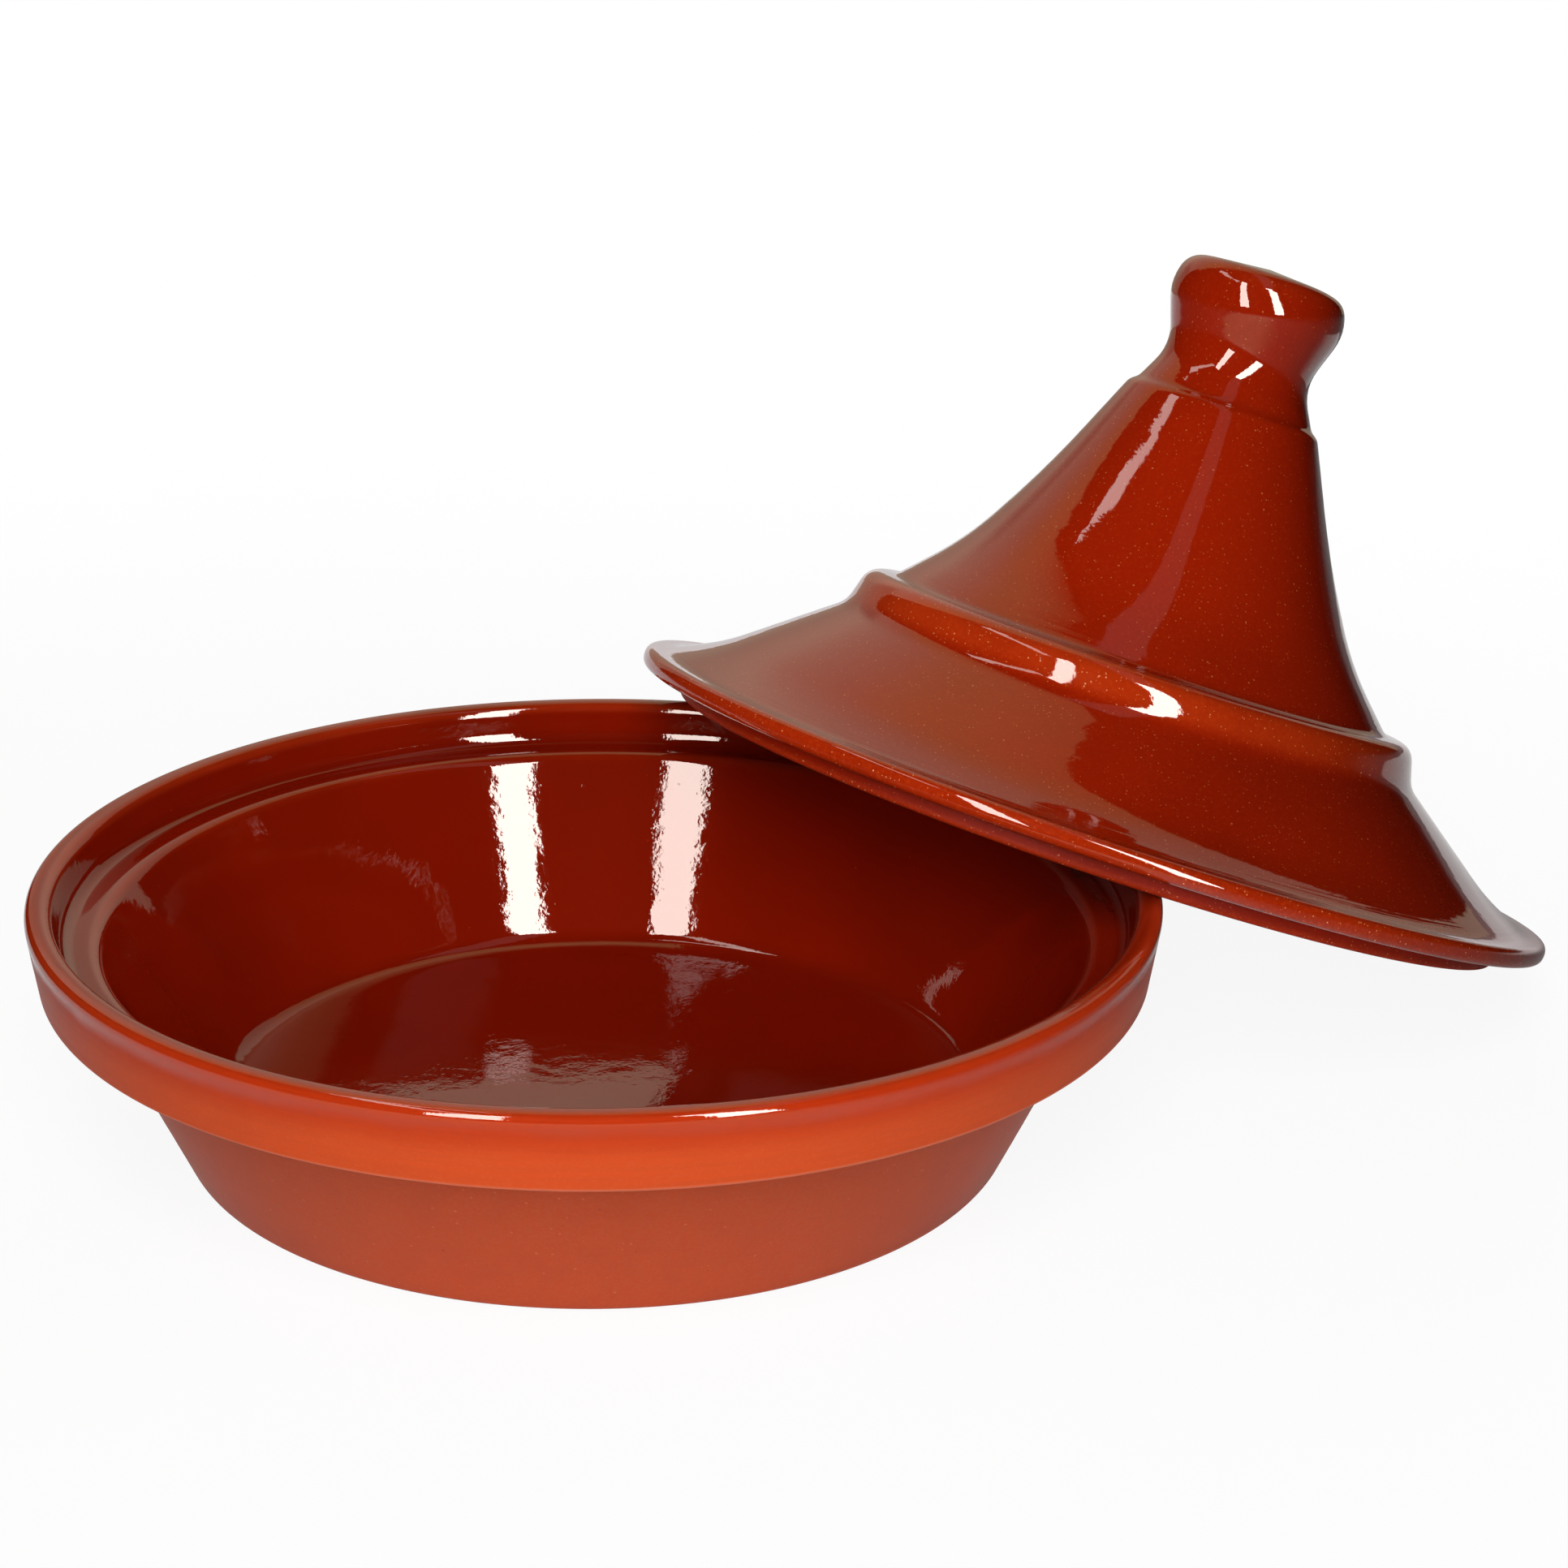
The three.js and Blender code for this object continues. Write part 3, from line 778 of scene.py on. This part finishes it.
class TAGINE_OT_lid(bpy.types.Operator):
    """Turns the lid, with its bead, ridge, cone, neck and knob, and leans it on the dish"""

    bl_idname = "tagine.lid"
    bl_label = "Lid"

    def execute(self, context):
        s, fine = context.scene.tagine_lid, context.scene.tagine_mesh
        half = 0.5 * s.bead_thickness
        under = -half + s.bead_lift
        ring_in, ring_z = s.ring_radius - s.ring_width, -half - s.ring_drop
        roof = s.shoulder_height - ROOF_DROP * s.wall
        above = s.height - s.shoulder_height

        def bend(a, b, shares):
            return a[0] + (b[0] - a[0]) * shares[0], a[1] + (b[1] - a[1]) * shares[1]

        def inside(p, walls):
            return p[0] - walls[0] * s.wall, p[1] - walls[1] * s.wall

        flare_foot = (s.bead_radius - s.bead_thickness, half)
        ridge_foot = (s.ridge_radius, s.ridge_height)
        ridge_top = (s.ridge_radius - RIDGE_LEAN * s.ridge_step, s.ridge_height + s.ridge_thickness)
        crease = (ridge_top[0] - s.ridge_step, ridge_top[1] + CREASE_RISE * s.ridge_thickness)
        shoulder = (s.shoulder_radius, s.shoulder_height)
        flare = bend(flare_foot, ridge_foot, FLARE)
        cone_low, cone_high = (bend(crease, shoulder, shares) for shares in (CONE_LOW, CONE_HIGH))
        corners = {
            "roof_middle": (0, roof),
            "roof": (ROOF_WIDTH * s.shoulder_radius, roof, 9 * MM),
            "hollow_high": (*inside(cone_high, HOLLOW_HIGH), 14 * MM),
            "hollow_low": (*inside(cone_low, HOLLOW_LOW), 14 * MM),
            "hollow_ridge": (*inside(ridge_foot, HOLLOW_RIDGE), 10 * MM),
            "hollow_flare": (*inside(flare, HOLLOW_FLARE), 12 * MM),
            "ring_fillet": (ring_in, RING_FILLET * half, 4 * MM),
            "ring_in": (ring_in, ring_z, 1.6 * MM),
            "ring_out": (s.ring_radius, ring_z, 1.6 * MM),
            "ring_root": (s.ring_radius, under, 0.7 * MM),
            "bead_low": (s.bead_radius, under, BEAD_ROUND * s.bead_thickness),
            "bead_high": (s.bead_radius, half, BEAD_ROUND * s.bead_thickness),
            "flare_foot": (*flare_foot, 3 * MM),
            "flare": (*flare, 17 * MM),
            "ridge_foot": (*ridge_foot, 3 * MM),
            "ridge_top": (*ridge_top, 5 * MM),
            "crease": (*crease, 2 * MM),
            "cone_low": (*cone_low, 17 * MM),
            "cone_high": (*cone_high, 22 * MM),
            "shoulder": (s.shoulder_radius + 0.3 * MM, s.shoulder_height - 0.5 * MM, 1.3 * MM),
            "shoulder_lip": (s.shoulder_radius - 2.2 * MM, s.shoulder_height + 1.3 * MM, 1.1 * MM),
            "neck": (s.neck_radius, s.shoulder_height + NECK_UP * above, 9 * MM),
            "knob": (s.knob_radius, s.shoulder_height + KNOB_UP * above, 10 * MM),
            "knob_edge": (s.knob_edge, s.shoulder_height + KNOB_EDGE_UP * above, 6 * MM),
            "top": (0, s.height),
        }
        points, along, at = rounded(corners, fine.span)
        share = np.clip((along - at["flare_foot"]) / LID_FADE, 0, 1) * np.clip(points[:, 0] / LID_FADE, 0, 1)
        axis = Vector((-math.sin(s.lean_direction), math.cos(s.lean_direction), 0))
        place = Matrix.Translation(s.centre) @ Matrix.Rotation(s.lean, 4, axis)
        turning = LID_TURNING | {"share": share}
        piece = turned("lid_cone", points, along, fine.segments, place, turning)
        check_place(piece, "lid")
        piece.data.materials.append(lid_finish(s, at))
        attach(piece, "lid")
        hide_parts("lid")
        return {"FINISHED"}


class TAGINE_OT_stage(bpy.types.Operator):
    """Lays the pale floor and sets the soft lamps, the white studio and the camera"""

    bl_idname = "tagine.stage"
    bl_label = "Stage"

    def execute(self, context):
        s = context.scene.tagine_stage
        self.lay_floor(context, s)
        self.light_walls(context, s)
        for name, setting, where, aim, slant, size, shown in LAMPS:
            self.hang_lamp(context, name, getattr(s, setting), where, aim, math.radians(slant), size, shown)
        for lamp, names in LAMP_REACH.items():
            self.keep_to(lamp, names)
        self.hang_paper(context, s)
        self.set_camera(context, s)
        context.scene.view_settings.view_transform = "Standard"
        return {"FINISHED"}

    @staticmethod
    def sheet(context, name, outline, look):
        """A flat sheet, and the bench of its material."""
        mesh = bpy.data.meshes.new(name)
        mesh.from_pydata(outline, [], [tuple(range(len(outline)))])
        material = bpy.data.materials.new(look)
        mesh.materials.append(material)
        made = bpy.data.objects.new(name, mesh)
        context.scene.collection.objects.link(made)
        return made, Bench(material)

    def lay_floor(self, context, s):
        """The floor: nearly white by itself, with a faint shadow, and darker parts in mirror images."""
        half = s.floor_size / 2
        corners = [(-half, -half, 0), (half, -half, 0), (half, half, 0), (-half, half, 0)]
        floor, bench = self.sheet(context, "floor", corners, "floor_paper")
        camera, glossy, through, diffuse = bench.rays()
        place, across, along, _ = bench.spot()
        reach = bench.node("ShaderNodeVectorMath", {"operation": "LENGTH"}, {0: place}, "Value")
        table = bench.window(across, *TABLE_ACROSS) * bench.rise(along, *TABLE_FROM)
        table = table.either(bench.window(along, *BEHIND_ALONG) * bench.window(across, *BEHIND_ACROSS))
        lit = bench.window(across, *LIT_ACROSS)
        front = 1 - bench.rise(along, *FRONT_TO)
        paper = bench.plain(bench.mix(diffuse * (1 - lit), s.floor_colour, UNLIT_FLOOR))
        shade = bench.mix(glossy * front, WHITE, WARM_FLOOR)
        white = bench.glow(bench.mix(glossy * (1 - table * TABLE_WHITE), shade, BLACK))
        share = camera.either(through) * (NEAR_WHITE + bench.rise(reach, *WHITE_FROM) * FAR_WHITE)
        bench.output(bench.blend(share.either(glossy * FLOOR_MIRRORED), paper, white))

    def light_walls(self, context, s):
        """The studio around: white to the camera, dusk in mirror images and faint in spread light."""
        world = bpy.data.worlds.new("studio")
        context.scene.world = world
        bench = Bench(world)
        camera, _, through, diffuse = bench.rays()
        dim = bench.mix(diffuse, DUSK, (s.ambient,) * 3)
        sky = bench.mix(camera.either(through), dim, WHITE)
        bench.output(bench.node("ShaderNodeBackground", None, {"Color": sky}), "ShaderNodeOutputWorld")

    def hang_paper(self, context, s):
        """White paper behind the table, which only the glaze's mirror images show."""
        outline = [(x, PAPER_DEPTH, z) for x, z in PAPER_OUTLINE]
        paper, bench = self.sheet(context, "paper", outline, "hung_paper")
        _, across, _, up = bench.spot()
        fade = (bench.rise(across, *SIDE_FADE) * SIDE_DARK).either(bench.rise(up, *TOP_FADE) * TOP_DARK)
        foot = 1 - bench.rise(up, *PAPER_FOOT)
        corner = (1 - bench.rise(across, *CORNER_ACROSS)) * (1 - bench.rise(up, *CORNER_UP))
        fade = fade.either(foot.either(corner) * CORNER_DARK)
        low, high = ([s.paper_level * part for part in tint] for tint in (PAPER_LOW, PAPER_HIGH))
        bench.output(bench.glow(bench.mix(fade, bench.mix(bench.rise(up, *PAPER_TURN), low, high), BLACK)))
        paper.visible_camera = paper.visible_diffuse = paper.visible_shadow = False

    def hang_lamp(self, context, name, brightness, where, aim, slant, size, shown):
        """A lamp of a brightness, which its size doesn't change."""
        lamp = bpy.data.lights.new(name, "AREA")
        lamp.shape, (lamp.size, lamp.size_y) = "RECTANGLE", size
        lamp.energy = brightness * math.pi * size[0] * size[1]
        holder = bpy.data.objects.new(name, lamp)
        turn = Vector(aim).to_track_quat("-Z", "Y").to_matrix().to_4x4()
        holder.matrix_world = Matrix.Translation(where) @ turn @ Matrix.Rotation(slant, 4, "Z")
        holder.visible_camera = False
        holder.visible_diffuse, holder.visible_glossy = shown == "light", shown == "shine"
        context.scene.collection.objects.link(holder)

    def keep_to(self, lamp, names):
        """Makes a lamp reach the named objects only."""
        reach = bpy.data.collections.new(f"{lamp}_reach")
        for name in names:
            reach.objects.link(bpy.data.objects[name])
        bpy.data.objects[lamp].light_linking.receiver_collection = reach

    def set_camera(self, context, s):
        """The camera, aimed at the middle of the foot and then turned left, up and about its axis."""
        data = bpy.data.cameras.new("camera")
        data.lens, data.sensor_width = s.focal_length, SENSOR
        camera = bpy.data.objects.new("camera", data)
        context.scene.collection.objects.link(camera)
        spot = Vector((0, -math.cos(s.elevation), math.sin(s.elevation))) * s.distance
        ahead, right = -spot.normalized(), Vector((1, 0, 0))
        over = right.cross(ahead)
        turn = Matrix.Rotation(s.yaw, 3, over)
        ahead, right = turn @ ahead, turn @ right
        turn = Matrix.Rotation(s.pitch, 3, right)
        ahead, over = turn @ ahead, turn @ over
        turn = Matrix.Rotation(s.roll, 3, ahead)
        right, over = turn @ right, turn @ over
        axes = Matrix((right, over, -ahead)).transposed()
        camera.matrix_world = Matrix.Translation(spot) @ axes.to_4x4()
        context.scene.camera = camera


class TAGINE_PT_panel(bpy.types.Panel):
    """Lists the pieces of the tagine and their settings"""

    bl_idname = "TAGINE_PT_panel"
    bl_label = "Glazed tagine"
    bl_space_type = "VIEW_3D"
    bl_region_type = "UI"
    bl_category = "Tagine"

    def draw(self, context):
        for settings, operator in (
            (context.scene.tagine_dish, TAGINE_OT_dish),
            (context.scene.tagine_lid, TAGINE_OT_lid),
            (context.scene.tagine_stage, TAGINE_OT_stage),
        ):
            box = self.layout.box()
            box.operator(operator.bl_idname)
            for key in settings.__annotations__:
                box.prop(settings, key)
        for key in context.scene.tagine_mesh.__annotations__:
            self.layout.prop(context.scene.tagine_mesh, key)


SETTINGS = {
    "tagine_dish": TagineDishSettings,
    "tagine_lid": TagineLidSettings,
    "tagine_stage": TagineStageSettings,
    "tagine_mesh": TagineMeshSettings,
}
CLASSES = (*SETTINGS.values(), TAGINE_OT_dish, TAGINE_OT_lid, TAGINE_OT_stage, TAGINE_PT_panel)


def register():
    for kind in CLASSES:
        bpy.utils.register_class(kind)
    for name, kind in SETTINGS.items():
        setattr(bpy.types.Scene, name, PointerProperty(type=kind))


def unregister():
    for name in SETTINGS:
        delattr(bpy.types.Scene, name)
    for kind in reversed(CLASSES):
        bpy.utils.unregister_class(kind)


def main():
    register()
    bpy.ops.tagine.dish()
    bpy.ops.tagine.lid()
    bpy.ops.tagine.stage()


if __name__ == "__main__":
    main()
